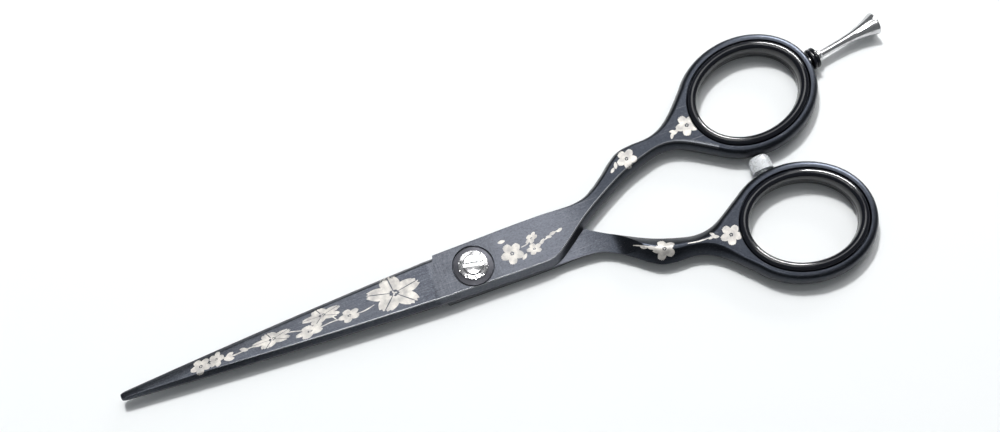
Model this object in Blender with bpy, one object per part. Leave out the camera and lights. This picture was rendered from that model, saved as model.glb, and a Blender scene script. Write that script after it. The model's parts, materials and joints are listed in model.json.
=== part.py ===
"""Hair cutting shears, lying closed and flat. Metres, +Z up.

The origin is on the pivot axis, at the level of the surface the shears lie on. +X runs from the
pivot to the finger rings, +Y to the finger ring, and the cutting tips are at -X.
Sizes below are in millimetres, and mesh_object scales them to metres.
"""

from math import cos, hypot, pi, radians, sin, tau

import bmesh
import bpy
from mathutils import Vector

MM = 0.001

# Overall layout
TIP_X = -78.7  # cutting tips
RING_X, RING_Y = 70.1, 15.5  # centre of the finger ring; the thumb ring's is at -RING_Y
RING_TILT = radians(10)  # of the ring's long axis, and of the finger rest
RIDE_Z = 3.0  # plane between the two blades
RIDE_GAP = 0.1  # from the ride plane to each blade

# Blades
ROOT_HALF_WIDTH = 5.4  # half the blade's width at the pivot
TIP_HALF_WIDTH = 0.9
TAPER_POWER = 1.35  # above 1 the sides of the blade bow outwards
HALF_HEIGHT = 2.5  # ride plane to the outer face of blade root, shank and ring
TIP_TOP = 1.2  # and at the tip
TOP_POWER = 1.2
EDGE_BEVEL = 0.8  # width of the ground cutting bevel
EDGE_SHARE = 0.6  # of the blade's height, where that bevel starts
SPINE_BEVEL = 1.0  # lean of the wall along the spine
SPINE_SHARE = 0.35  # of the blade's height, where that lean starts
MOST_TIP_DROP = 0.6  # share of a tip section's narrowing that also lowers it
MOST_BEVEL_SHARE = 0.45  # of the half width that either bevel may take near the tip
UNDERCUT = 0.6  # how far the blade's loft reaches past the ride plane before it is cut back
SUNK = 0.01  # outer face of the blade below that of the pivot block
BLADE_END_X = -4.0  # the blade's loft ends inside the pivot block
BLADE_TIP_STATIONS = ((0, 0.5), (0.35, 0.85), (0.9, 1.0))  # from the tip: distance, share of width
BLADE_STEPS_FROM = 3.0  # from the tip to the first evenly spaced section
BLADE_STEPS = 18

# Rings and their inserts, as an opening and distances outward from it
OPEN_A, OPEN_B = 12.0, 9.3  # half axes of the finger opening
RING_BAND = 4.3  # opening to the outside of the metal rim
SEAT = 2.3  # opening to the metal seat
RIB = 1.3  # opening to the metal rib that holds the insert
RIB_HALF_HEIGHT = 1.0
RIM_ROUND = 1.15  # rounding of the rim's outer edges, in plan
# Upper face of an insert, outward from the opening, up from the ride plane; its crown at 3.0 is
# what the rings rest on
INSERT_PROFILE = ((0, 1.5), (0.15, 2.2), (0.45, 2.7), (0.85, 3.0), (1.35, 3.0), (1.8, 2.75))
INSERT_EDGE_Z = 2.35  # where that profile meets the seat's wall
FIT = 0.15  # gap all round an insert, a bush or a pin

# Pivot block and shank
EDGE_CHAMFER = 0.35
SHANK_ROUND, SHANK_ROUND_Z = 1.65, 2.35  # rounding of the shank's edges in plan and upright
EDGE_STEPS = (0, 0.35, 0.65, 0.88, 1)  # where a rounded edge has its facets
BLOCK_TO_SHANK_X = (17, 29)
SHANK_TO_RING_X = (46, 54)
RING_FROM, RING_TO = radians(141), radians(-143)  # where the shank leaves the ring's outline
RING_OUTLINE_STEPS = 40
SWEEP_X = (30, 37)  # where the shank's underside drops from blade to ring
SWEEP_STEPS = 8

# Pivot stack: radii, then heights above the resting plane
BUSH_HOLE_R, BUSH_R, BUSH_BORE_R = 2.75, 2.6, 1.8
HEAD_RECESS_R, HEAD_RECESS_Z = 4.4, 4.9
WASHER_RECESS_R, WASHER_RECESS_Z = 4.7, 2.4
SPRING_Z, SPRING_RISE, SPRING_THICK = 5.0, 0.3, 0.25
NUT_R, NUT_FLANGE_R, NUT_BORE_R = 2.4, 3.35, 1.65
NUT_HOLE_R, NUT_RECESS_R, NUT_RECESS_Z = 2.55, 3.5, 0.85
NUT_FLOOR, NUT_CHAMFER = 0.6, 0.2
SPANNER_HOLE_R, SPANNER_HOLE_AT, SPANNER_HOLE_DEPTH = 0.35, 2.4, 0.4
STACK_GAP = 0.05  # between the faces of the stack's pieces
SCREW_R, THREAD_R = 1.6, 1.5
THREAD_Z, THREAD_PITCH, THREAD_DEPTH, THREAD_TURNS = 0.8, 0.4, 0.2, 4
HEAD_R, HEAD_BOTTOM, HEAD_STEP, HEAD_TOP = 3.2, 5.65, 6.5, 7.2
HEAD_DISC_R = 2.15
HEAD_CHAMFER = 0.2
SLOT_WIDTH, SLOT_DEPTH = 0.9, 0.6
NOTCHES, NOTCH_R, NOTCH_DEPTH = 10, 0.3, 0.4

# Bumper and finger rest
BUMPER_X, BUMPER_R, BUMPER_STEM_R = 66.6, 2.4, 0.9
BUMPER_FOOT, BUMPER_SHOULDER, BUMPER_HOLE_DEPTH = -3.8, -1.78, 4.5
BUMPER_DOME = ((1, 0.3), (0.9, 1.0), (0.65, 1.5), (0.3, 1.75))  # share of the radius, height
REST_STUD_R, REST_START, REST_LENGTH = 0.95, 16.45, 17.4
REST_STEM_R, REST_END_R = 0.85, 2.6
REST_NECK_R, REST_NECK_LENGTH, REST_FLARE_FROM = 1.35, 0.7, 1.3
FLARE_STEPS, FLARE_POWER = 7, 3
COLLAR_R, COLLAR_LENGTH, COLLAR_CHAMFER = 2.4, 1.6, 0.35
RING_CENTRE = (RING_X, RING_Y, RIDE_Z)
REST_TURN = (0, pi / 2, RING_TILT)
BUMPER_PLACE = (BUMPER_X, 0, RIDE_Z)
BUMPER_TURN = (-pi / 2, 0, 0)
SLOT_TURN = radians(-12)

RING_STEPS = 56
ROUND_STEPS = 40
SMALL_ROUND_STEPS = 28
NOTCH_STEPS = 10
SHARP_ANGLE = radians(35)
CLEAR = 2.0  # how far a cutter runs past the face it opens


def clear_scene():
    for obj in list(bpy.data.objects):
        bpy.data.objects.remove(obj, do_unlink=True)


def finish(name, colour, metallic, roughness, alpha=1.0):
    """A plain Principled material."""
    material = bpy.data.materials.new(name)
    material.use_nodes = True
    shader = material.node_tree.nodes["Principled BSDF"]
    shader.inputs["Base Color"].default_value = (*colour, 1)
    shader.inputs["Metallic"].default_value = metallic
    shader.inputs["Roughness"].default_value = roughness
    shader.inputs["Alpha"].default_value = alpha
    return material


def mesh_object(name, points, faces, material=None):
    """An object from points in millimetres, with its faces turned outwards."""
    mesh = bpy.data.meshes.new(name)
    mesh.from_pydata([Vector(p) * MM for p in points], [], faces)
    work = bmesh.new()
    work.from_mesh(mesh)
    bmesh.ops.recalc_face_normals(work, faces=work.faces)
    work.to_mesh(mesh)
    work.free()
    obj = bpy.data.objects.new(name, mesh)
    bpy.context.collection.objects.link(obj)
    if material:
        mesh.materials.append(material)
        mesh.shade_smooth()
        mesh.set_sharp_from_angle(angle=SHARP_ANGLE)
    return obj


def loft(loops, closed=False):
    """Points and faces of a skin over loops of equal length, capped unless it closes on itself."""
    count, size = len(loops), len(loops[0])
    points = [p for loop in loops for p in loop]
    faces = []
    for i in range(count if closed else count - 1):
        j = (i + 1) % count
        for k in range(size):
            m = (k + 1) % size
            faces.append((i * size + k, i * size + m, j * size + m, j * size + k))
    if not closed:
        faces.append(tuple(range(size)))
        faces.append(tuple(range((count - 1) * size, count * size)))
    return points, faces


def turned(profile, steps=ROUND_STEPS):
    """A profile of (radius, height) pairs, a closed loop off the axis, turned round Z."""
    loops = [
        [(r * cos(tau * i / steps), r * sin(tau * i / steps), z) for r, z in profile]
        for i in range(steps)
    ]
    return loft(loops, closed=True)


def turned_solid(profile, steps=ROUND_STEPS):
    """A profile of (radius, height) pairs turned round Z and capped flat at both ends."""
    loops = [
        [(r * cos(tau * i / steps), r * sin(tau * i / steps), z) for i in range(steps)]
        for r, z in profile
    ]
    return loft(loops)


def guide(name, points, faces):
    """A hidden form that a Boolean joins to a piece or cuts from it."""
    obj = mesh_object(name, points, faces)
    obj.hide_render = True
    obj.display_type = "WIRE"
    return obj


def combine(obj, other, operation):
    """Joins the guide to obj, or cuts it from obj, with a Boolean modifier."""
    modifier = obj.modifiers.new(other.name, "BOOLEAN")
    modifier.operation = operation
    modifier.solver = "EXACT"
    modifier.object = other


def smooth_curve(points, per_span):
    """A Catmull-Rom curve through the points, per_span steps to each span."""
    ends = [points[0], *points, points[-1]]
    curve = []
    for i in range(1, len(ends) - 2):
        p0, p1, p2, p3 = (Vector(p) for p in ends[i - 1 : i + 3])
        for step in range(per_span):
            t = step / per_span
            curve.append(
                0.5
                * (
                    2 * p1
                    + (p2 - p0) * t
                    + (2 * p0 - 5 * p1 + 4 * p2 - p3) * t**2
                    + (3 * p1 - p0 - 3 * p2 + p3) * t**3
                )
            )
    curve.append(Vector(points[-1]))
    return curve


def ring_point(angle, outward):
    """A point of the finger ring in plan, a distance outward from the edge of its opening."""
    x, y = OPEN_A * cos(angle), OPEN_B * sin(angle)
    nx, ny = cos(angle) / OPEN_A, sin(angle) / OPEN_B
    length = hypot(nx, ny)
    x, y = x + outward * nx / length, y + outward * ny / length
    return Vector(
        (
            RING_X + x * cos(RING_TILT) - y * sin(RING_TILT),
            RING_Y + x * sin(RING_TILT) + y * cos(RING_TILT),
        )
    )


def mix(a, b, share):
    return a + (b - a) * share


def blend(value, low, high):
    """0 below low, 1 above high and straight between them."""
    return min(1, max(0, (value - low) / (high - low)))


def blade_half_width(x):
    share = min(1, max(0, x / TIP_X))
    return TIP_HALF_WIDTH + (ROOT_HALF_WIDTH - TIP_HALF_WIDTH) * (1 - share**TAPER_POWER)


def blade_section(x, scale=1.0):
    """Cutting edge, bevel, outer face, spine wall and inner side of the finger blade at x."""
    share = min(1, max(0, x / TIP_X))
    width = blade_half_width(x) * scale
    top = mix(HALF_HEIGHT, TIP_TOP, share**TOP_POWER) * mix(1, scale, MOST_TIP_DROP)
    lean = min(SPINE_BEVEL, width * MOST_BEVEL_SHARE)
    bevel = min(EDGE_BEVEL, width * MOST_BEVEL_SHARE)
    return [
        (x, width, RIDE_Z - UNDERCUT),
        (x, width, RIDE_Z + RIDE_GAP),
        (x, width - bevel, RIDE_Z + top * EDGE_SHARE),
        (x, lean - width, RIDE_Z + top - SUNK),
        (x, -width, RIDE_Z + top * SPINE_SHARE),
        (x, -width, RIDE_Z - UNDERCUT),
    ]


def blade_loft():
    stations = [(TIP_X + distance, scale) for distance, scale in BLADE_TIP_STATIONS]
    start = TIP_X + BLADE_STEPS_FROM
    stations += [(mix(start, BLADE_END_X, i / BLADE_STEPS), 1.0) for i in range(BLADE_STEPS + 1)]
    return loft([blade_section(x, scale) for x, scale in stations])


def edge_entry(point, block_inset, block_height):
    """A point of the outline with the inset, height and roundness that its edge has there."""
    along_shank = blend(point.x, *BLOCK_TO_SHANK_X)
    inset = mix(block_inset, SHANK_ROUND, along_shank)
    inset = mix(inset, RIM_ROUND, blend(point.x, *SHANK_TO_RING_X))
    height = mix(block_height, SHANK_ROUND_Z, along_shank)
    return point, inset, height, 1 + along_shank


def handle_outline():
    """Plan outline of pivot block, shank and ring, clockwise, with how its edge is rounded.

    Each entry is (point, inset, height, roundness): inset and height are the size of the
    rounding in plan and upright, and a roundness of 1 is a chamfer, 2 a round edge.
    """
    outer_side = smooth_curve(
        [(-7.4, 5.38), (2, 5.5), (12, 5.65), (21, 5.65), (26.4, 6.1), (29.6, 7.4), (32.8, 9.6),
         (35.8, 12.0), (38.4, 13.5), (41.5, 14.0), (45.5, 14.2), (49, 15.4), (52.4, 18.0)], 2)
    inner_side = smooth_curve(
        [(53.5, 8.3), (50.4, 9.6), (47.5, 9.9), (44.6, 9.4), (39, 7.6), (33.3, 4.8), (27.3, 1.3),
         (21.6, -2.8), (18.4, -4.9), (15.9, -5.6), (12, -5.65), (2, -5.5), (-10.4, -5.25)], 2)
    outer = [edge_entry(p, EDGE_CHAMFER, EDGE_CHAMFER) for p in outer_side]
    ring = [
        (ring_point(mix(RING_FROM, RING_TO, i / RING_OUTLINE_STEPS), RING_BAND),
         RIM_ROUND, SHANK_ROUND_Z, 2)
        for i in range(RING_OUTLINE_STEPS + 1)
    ]
    inner = [edge_entry(p, SPINE_BEVEL, HALF_HEIGHT) for p in inner_side]
    return outer + ring + inner


def inward_normals(points):
    """Unit normals of a clockwise outline, pointing in."""
    normals = []
    for i in range(len(points)):
        along = (points[(i + 1) % len(points)] - points[i - 1]).normalized()
        normals.append(Vector((along.y, -along.x)))
    return normals


def handle_loft():
    """Block, shank and ring as one full-height solid with rounded edges and no holes yet."""
    outline = handle_outline()
    normals = inward_normals([entry[0] for entry in outline])
    levels = [(-1, share) for share in reversed(EDGE_STEPS)] + [(1, share) for share in EDGE_STEPS]
    loops = []
    for side, share in levels:
        loop = []
        for (p, inset, height, roundness), normal in zip(outline, normals):
            lean = inset * (1 - (1 - share**roundness) ** (1 / roundness))
            q = p + normal * lean
            loop.append((q.x, q.y, RIDE_Z + side * (HALF_HEIGHT - height * (1 - share))))
        loops.append(loop)
    return loft(loops)


def flipped(obj, flip):
    """Turned half round the long axis at the ride plane, as the thumb half lies."""
    if flip:
        obj.location = (0, 0, 2 * RIDE_Z * MM)
        obj.rotation_euler = (pi, 0, 0)
    return obj


def placed(obj, location, rotation=(0, 0, 0)):
    obj.location = Vector(location) * MM
    obj.rotation_euler = rotation
    return obj


def inner_side_cutter(name):
    """All that lies below the blade's inner side, with the sweep down to the ring's full height."""
    before_tip, below, aside = TIP_X - CLEAR, -CLEAR, RING_Y + OPEN_A + RING_BAND
    drop = HALF_HEIGHT + RIDE_GAP + EDGE_CHAMFER
    sweep = [
        (mix(*SWEEP_X, i / SWEEP_STEPS), RIDE_Z + RIDE_GAP - drop * sin(pi / 2 * i / SWEEP_STEPS) ** 2)
        for i in range(SWEEP_STEPS + 1)
    ]
    side_view = [(before_tip, below), (before_tip, RIDE_Z + RIDE_GAP), *sweep, (SWEEP_X[1], below)]
    return guide(name, *loft([[(x, y, z) for x, z in side_view] for y in (-aside, aside)]))


def ring_seat_cutter(name):
    """The ring's opening: a seat from each side and the rib left between them."""
    past = HALF_HEIGHT + CLEAR
    levels = [(-past, SEAT), (-RIB_HALF_HEIGHT, SEAT), (-RIB_HALF_HEIGHT, RIB),
              (RIB_HALF_HEIGHT, RIB), (RIB_HALF_HEIGHT, SEAT), (past, SEAT)]
    loops = [
        [(*ring_point(tau * i / RING_STEPS, outward), RIDE_Z + z) for i in range(RING_STEPS)]
        for z, outward in levels
    ]
    return guide(name, *loft(loops))


def round_cutter(name, radius, bottom, top):
    return guide(name, *turned_solid([(radius, bottom), (radius, top)]))


def forged_half(name, flip, material):
    """One forging, from tip to ring, before its holes are made."""
    half = flipped(mesh_object(name, *handle_loft(), material), flip)
    blade = flipped(guide(name + "_blade_form", *blade_loft()), flip)
    combine(half, blade, "UNION")
    combine(half, flipped(inner_side_cutter(name + "_inner_side"), flip), "DIFFERENCE")
    combine(half, flipped(ring_seat_cutter(name + "_ring_seat"), flip), "DIFFERENCE")
    return half


def finger_blade(steel):
    half = forged_half("finger_blade", False, steel)
    above = RIDE_Z + HALF_HEIGHT + CLEAR
    combine(half, round_cutter("bush_hole", BUSH_HOLE_R, RIDE_Z - CLEAR, above), "DIFFERENCE")
    combine(half, round_cutter("head_recess", HEAD_RECESS_R, HEAD_RECESS_Z, above), "DIFFERENCE")
    outside = OPEN_A + RING_BAND + CLEAR
    hole = round_cutter("rest_hole", REST_STUD_R + FIT, OPEN_A, outside)
    combine(half, placed(hole, RING_CENTRE, REST_TURN), "DIFFERENCE")
    return half


def thumb_blade(steel):
    half = forged_half("thumb_blade", True, steel)
    above = RIDE_Z + CLEAR
    combine(half, round_cutter("nut_hole", NUT_HOLE_R, -CLEAR, above), "DIFFERENCE")
    washer_recess = round_cutter("washer_recess", WASHER_RECESS_R, WASHER_RECESS_Z, above)
    combine(half, washer_recess, "DIFFERENCE")
    combine(half, round_cutter("nut_recess", NUT_RECESS_R, -CLEAR, NUT_RECESS_Z), "DIFFERENCE")
    hole = round_cutter("bumper_hole", BUMPER_STEM_R + FIT, -BUMPER_HOLE_DEPTH, 0)
    combine(half, placed(hole, BUMPER_PLACE, BUMPER_TURN), "DIFFERENCE")
    return half


def ring_insert(name, flip, material):
    """A round-faced liner with a groove that clips over the ring's rib."""
    edge, groove, lip = SEAT - FIT, RIB - FIT, RIB_HALF_HEIGHT + FIT
    upper = [*INSERT_PROFILE, (edge, INSERT_EDGE_Z), (edge, lip), (groove, lip)]
    profile = upper + [(outward, -z) for outward, z in reversed(upper)]
    loops = [
        [(*ring_point(tau * i / RING_STEPS, outward), RIDE_Z + z) for outward, z in profile]
        for i in range(RING_STEPS)
    ]
    return flipped(mesh_object(name, *loft(loops, closed=True), material), flip)


def pivot_screw(chrome):
    """Stepped head with a slot and a notched rim, plain shank and grooved thread end."""
    profile = []
    for turn in range(THREAD_TURNS):
        z = THREAD_Z + THREAD_PITCH * turn
        profile += [(THREAD_R - THREAD_DEPTH, z), (THREAD_R, z + THREAD_DEPTH)]
    thread_end = THREAD_Z + THREAD_PITCH * THREAD_TURNS
    rim, disc, chamfer = HEAD_R, HEAD_DISC_R, HEAD_CHAMFER
    profile += [
        (THREAD_R - THREAD_DEPTH, thread_end), (SCREW_R, thread_end + THREAD_DEPTH),
        (SCREW_R, HEAD_BOTTOM), (rim, HEAD_BOTTOM), (rim, HEAD_STEP - chamfer),
        (rim - chamfer, HEAD_STEP), (disc + chamfer, HEAD_STEP), (disc, HEAD_STEP + chamfer),
        (disc, HEAD_TOP - chamfer), (disc - chamfer, HEAD_TOP),
    ]
    screw = mesh_object("pivot_screw", *turned_solid(profile), chrome)
    half_slot = SLOT_WIDTH / 2
    floor, above = HEAD_TOP - SLOT_DEPTH, HEAD_TOP + CLEAR
    slot_end = [(-half_slot, floor), (half_slot, floor), (half_slot, above), (-half_slot, above)]
    slot = guide("slot", *loft([[(x, y, z) for y, z in slot_end] for x in (-HEAD_R, HEAD_R)]))
    combine(screw, placed(slot, (0, 0, 0), (0, 0, SLOT_TURN)), "DIFFERENCE")
    for i in range(NOTCHES):
        angle = SLOT_TURN + tau * (i + 0.5) / NOTCHES
        notch = guide(f"notch_{i}", *turned_solid([(NOTCH_R, 0), (NOTCH_R, CLEAR)], NOTCH_STEPS))
        where = (HEAD_R * cos(angle), HEAD_R * sin(angle), HEAD_STEP - NOTCH_DEPTH)
        combine(screw, placed(notch, where), "DIFFERENCE")
    return screw


def disc_spring(steel):
    """Shallow cone under the screw head that keeps the joint snug."""
    inner, outer, raised = SCREW_R + FIT, HEAD_RECESS_R - FIT, SPRING_Z + SPRING_RISE
    profile = [(inner, raised), (outer, SPRING_Z), (outer, SPRING_Z + SPRING_THICK),
               (inner, raised + SPRING_THICK)]
    return mesh_object("disc_spring", *turned(profile), steel)


def pivot_bushing(bronze):
    bottom, top = RIDE_Z + RIDE_GAP + STACK_GAP, HEAD_RECESS_Z - STACK_GAP
    profile = [(BUSH_BORE_R, bottom), (BUSH_R, bottom), (BUSH_R, top), (BUSH_BORE_R, top)]
    return mesh_object("pivot_bushing", *turned(profile), bronze)


def glide_washer(plastic):
    inner, outer = BUSH_BORE_R, WASHER_RECESS_R - FIT
    bottom, top = WASHER_RECESS_Z + STACK_GAP, RIDE_Z
    profile = [(inner, bottom), (outer, bottom), (outer, top), (inner, top)]
    return mesh_object("glide_washer", *turned(profile), plastic)


def rear_nut(chrome):
    """Flanged nut with a blind bore, closed below, that the shears rest on."""
    flange_top, top = NUT_RECESS_Z - 2 * STACK_GAP, WASHER_RECESS_Z - STACK_GAP
    outside = [(NUT_FLANGE_R - NUT_CHAMFER, 0), (NUT_FLANGE_R, NUT_CHAMFER),
               (NUT_FLANGE_R, flange_top), (NUT_R, flange_top), (NUT_R, top)]
    nut = mesh_object("rear_nut", *turned_solid(outside), chrome)
    combine(nut, round_cutter("nut_bore", NUT_BORE_R, NUT_FLOOR, top + CLEAR), "DIFFERENCE")
    hole_form = turned_solid([(SPANNER_HOLE_R, -CLEAR), (SPANNER_HOLE_R, SPANNER_HOLE_DEPTH)], 12)
    for name, side in (("spanner_hole_west", -1), ("spanner_hole_east", 1)):
        hole = placed(guide(name, *hole_form), (side * SPANNER_HOLE_AT, 0, 0))
        combine(nut, hole, "DIFFERENCE")
    return nut


def bumper(rubber):
    """Domed silencer on a stem pushed into the thumb ring."""
    head, stem, foot, shoulder = BUMPER_R, BUMPER_STEM_R, BUMPER_FOOT, BUMPER_SHOULDER
    round_off = 0.2
    profile = [(stem - round_off, foot), (stem, foot + round_off), (stem, shoulder),
               (head - round_off, shoulder), (head, shoulder + round_off)]
    profile += [(head * share, height) for share, height in BUMPER_DOME]
    obj = mesh_object("bumper", *turned_solid(profile, SMALL_ROUND_STEPS), rubber)
    return placed(obj, BUMPER_PLACE, BUMPER_TURN)


def rest_collar(rubber):
    start, end, bore = REST_START, REST_START + COLLAR_LENGTH, REST_STUD_R + FIT
    outer, chamfer = COLLAR_R, COLLAR_CHAMFER
    profile = [(bore, start), (outer - chamfer, start), (outer, start + chamfer),
               (outer, end - chamfer), (outer - chamfer, end), (bore, end)]
    obj = mesh_object("rest_collar", *turned(profile, SMALL_ROUND_STEPS), rubber)
    return placed(obj, RING_CENTRE, REST_TURN)


def finger_rest(chrome):
    """Stud, neck and a stem that flares to a round end."""
    stud, foot = REST_STUD_R, OPEN_A + SEAT - RIM_ROUND / 2
    neck = REST_START + COLLAR_LENGTH + 2 * STACK_GAP
    flare_from, end, round_off = neck + REST_FLARE_FROM, REST_START + REST_LENGTH, 0.2
    profile = [(stud - round_off, foot), (stud, foot + round_off), (stud, neck),
               (REST_NECK_R, neck), (REST_NECK_R, neck + REST_NECK_LENGTH)]
    for i in range(FLARE_STEPS + 1):
        share = i / FLARE_STEPS
        radius = mix(REST_STEM_R, REST_END_R, share**FLARE_POWER)
        profile.append((radius, mix(flare_from, end - 3 * round_off, share)))
    profile += [(REST_END_R, end - round_off), (REST_END_R - round_off, end)]
    obj = mesh_object("finger_rest", *turned_solid(profile, SMALL_ROUND_STEPS), chrome)
    return placed(obj, RING_CENTRE, REST_TURN)


def joint_empty(name, location):
    empty = bpy.data.objects.new(name, None)
    empty.location = Vector(location) * MM
    bpy.context.collection.objects.link(empty)
    return empty


def hang(parent, *children):
    """Parents the children where they already are."""
    bpy.context.view_layer.update()
    for child in children:
        child.parent = parent
        child.matrix_parent_inverse = parent.matrix_world.inverted()


def main():
    clear_scene()
    steel = finish("coated_steel", (0.10, 0.11, 0.13), 0.9, 0.4)
    chrome = finish("chrome", (0.82, 0.82, 0.84), 1.0, 0.15)
    black = finish("black_rubber", (0.012, 0.012, 0.016), 0.0, 0.2)
    frosted = finish("frosted_rubber", (0.75, 0.77, 0.8), 0.0, 0.4, 0.7)
    bronze = finish("bronze", (0.55, 0.38, 0.18), 1.0, 0.35)
    plastic = finish("glide_plastic", (0.85, 0.85, 0.82), 0.0, 0.5)

    thumb_half = [
        thumb_blade(steel),
        ring_insert("thumb_ring_insert", True, black),
        bumper(frosted),
        rear_nut(chrome),
        glide_washer(plastic),
    ]
    finger_half = [
        finger_blade(steel),
        ring_insert("finger_ring_insert", False, black),
        pivot_bushing(bronze),
        disc_spring(steel),
        rest_collar(black),
    ]
    pivot_axis = joint_empty("pivot_axis", (0, 0, RIDE_Z))
    hang(pivot_axis, *finger_half)
    hang(joint_empty("screw_axis", (0, 0, HEAD_BOTTOM)), pivot_screw(chrome))
    rest_axis = joint_empty("rest_axis", RING_CENTRE)
    hang(rest_axis, finger_rest(chrome))
    hang(pivot_axis, rest_axis)
    hang(joint_empty("thumb_half_axis", (0, 0, RIDE_Z)), *thumb_half)


main()
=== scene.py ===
"""Looks of the hair cutting shears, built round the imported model.

Sizes are in millimetres in the model's frame, and mesh_object scales them to metres. The origin is
on the pivot axis at the resting plane, +X runs to the finger rings and +Y to the finger ring.
Both halves are forged to one shape: the thumb half is the finger half turned over.
"""

import json
from math import atan2, cos, hypot, pi, radians, sin, tau

import bmesh
import bpy
from mathutils import Matrix, Vector
from mathutils.bvhtree import BVHTree


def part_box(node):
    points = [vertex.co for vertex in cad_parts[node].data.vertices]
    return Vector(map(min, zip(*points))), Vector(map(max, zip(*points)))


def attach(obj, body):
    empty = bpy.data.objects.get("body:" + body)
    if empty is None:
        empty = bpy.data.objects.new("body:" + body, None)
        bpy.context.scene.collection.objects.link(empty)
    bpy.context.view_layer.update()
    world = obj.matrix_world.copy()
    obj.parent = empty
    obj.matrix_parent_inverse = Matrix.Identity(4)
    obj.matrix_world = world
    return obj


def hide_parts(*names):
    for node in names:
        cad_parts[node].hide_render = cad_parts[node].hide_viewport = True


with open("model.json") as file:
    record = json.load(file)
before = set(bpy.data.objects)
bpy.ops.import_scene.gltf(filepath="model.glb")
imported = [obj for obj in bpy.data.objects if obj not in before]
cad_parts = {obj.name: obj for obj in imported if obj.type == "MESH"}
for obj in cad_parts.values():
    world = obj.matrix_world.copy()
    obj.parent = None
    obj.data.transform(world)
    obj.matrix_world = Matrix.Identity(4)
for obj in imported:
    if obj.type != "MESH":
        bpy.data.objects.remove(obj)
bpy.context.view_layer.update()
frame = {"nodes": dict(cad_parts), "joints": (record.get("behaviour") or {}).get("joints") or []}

MM = 0.001
JOINTS = {joint["name"]: joint for joint in frame["joints"]}


def millimetres(point):
    return Vector(point) / MM


# Places read from the frame
TIP_X = millimetres(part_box("finger_blade")[0]).x
RIDE_Z = millimetres(JOINTS["blade_pivot"]["pos_m"]).z  # plane between the two blades
HALF_HEIGHT = millimetres(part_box("finger_blade")[1]).z - RIDE_Z
RING_CENTRE = millimetres(JOINTS["rest_turn"]["pos_m"])  # of the finger ring
RING_TILT = atan2(JOINTS["rest_turn"]["axis"][1], JOINTS["rest_turn"]["axis"][0])
INSERT_HALF_HEIGHT = millimetres(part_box("finger_ring_insert")[1]).z - RIDE_Z
HEAD_TOP = millimetres(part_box("pivot_screw")[1]).z
HEAD_R = millimetres(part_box("pivot_screw")[1]).x
BUMPER_X = (millimetres(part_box("bumper")[0]).x + millimetres(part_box("bumper")[1]).x) / 2
BUMPER_R = (millimetres(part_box("bumper")[1]).x - millimetres(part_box("bumper")[0]).x) / 2
BUMPER_TOP_Y = millimetres(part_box("bumper")[1]).y

# Blades, as in the model
RIDE_GAP = 0.1  # from the ride plane to each blade
ROOT_HALF_WIDTH, TIP_HALF_WIDTH, TAPER_POWER = 5.4, 0.9, 1.35
TIP_TOP, TOP_POWER = 1.2, 1.2
EDGE_BEVEL, EDGE_SHARE = 0.8, 0.6
SPINE_LEAN, SPINE_SHARE = 1.0, 0.35
MOST_BEVEL_SHARE, MOST_TIP_DROP = 0.45, 0.6

# Blades, in finer shape than the model's
BLADE_END_X = -4.8  # the loft ends inside the pivot block
ROOT_STEP = 0.07  # outer face of the blade below the pivot block's
CROWN, CROWN_FULL_FROM = 0.1, 3  # of the outer face, and the half width from which it is full
ARRIS_EASE = 0.22  # rounding of each arris
EDGE_WIDTH, EDGE_BOTTOM, EDGE_TOP = 0.02, 0.02, 0.1  # of the cutting edge, over the ride gap
SPINE_FOOT, SPINE_FOOT_EASE = 0.12, 0.1  # of the spine's wall, up and inwards
LAP = 0.005  # inner face over the ride gap
HOLLOW, HOLLOW_FADE_X = 0.16, (9, 18)  # grind of the inner face, and where it fades in
HOLLOW_STEPS, HOLLOW_POWER = 12, 0.8
RIDE_STRIP = 1.0  # flat strip left along each side of the hollow
MOST_HOLLOW_SHARE, MOST_STRIP_SHARE = 0.05, 0.35  # of the blade's half width
TIP_STATIONS, TIP_SPACING, TIP_SHARE, TIP_LENGTH = 8, 0.02, 0.5, 1.8  # rounding of the tip
BLADE_STATIONS = 72

# Rings, as in the model: an opening and distances outward from it
OPEN_A, OPEN_B = 12.0, 9.3
RING_BAND, SEAT, RIB, RIB_HALF_HEIGHT, FIT = 4.3, 2.3, 1.3, 1.0, 0.15
RING_FROM, RING_TO = radians(141), radians(-143)  # where the shank leaves the ring's outline
RING_OUTLINE_STEPS, RING_STEPS = 170, 220
STEER = 8  # steps along the ring to the point that steers a side into it
SEAT_CHAMFER = 0.12

# Pivot block and shank: control points of the two sides, outwards from the pivot
OUTER_SIDE = [
    (-7.4, 5.38), (2, 5.5), (12, 5.65), (21, 5.65), (26.4, 6.1), (29.6, 7.4), (32.8, 9.6),
    (35.8, 12.0), (38.4, 13.5), (41.5, 14.0), (45.5, 14.2), (49, 15.4), (52.4, 18.0),
]
INNER_SIDE = [
    (-10.4, -5.25), (2, -5.5), (12, -5.65), (15.9, -5.6), (18.4, -4.9), (21.6, -2.8), (27.3, 1.3),
    (33.3, 4.8), (39, 7.6), (44.6, 9.4), (47.5, 9.9), (50.4, 9.6), (53.5, 8.3),
]
SIDE_STEPS = 9
BLOCK_TO_SHANK_X, SHANK_TO_RING_X = (17, 29), (46, 54)
SWEEP_X, SWEEP_STEPS = (30, 37), 24  # where the ride face drops to the shank's full height
SWEEP_PAST = 0.3  # how far the drop runs past that height
CUT_HALF_WIDTH = 35  # of the ride face's cutter

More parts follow.
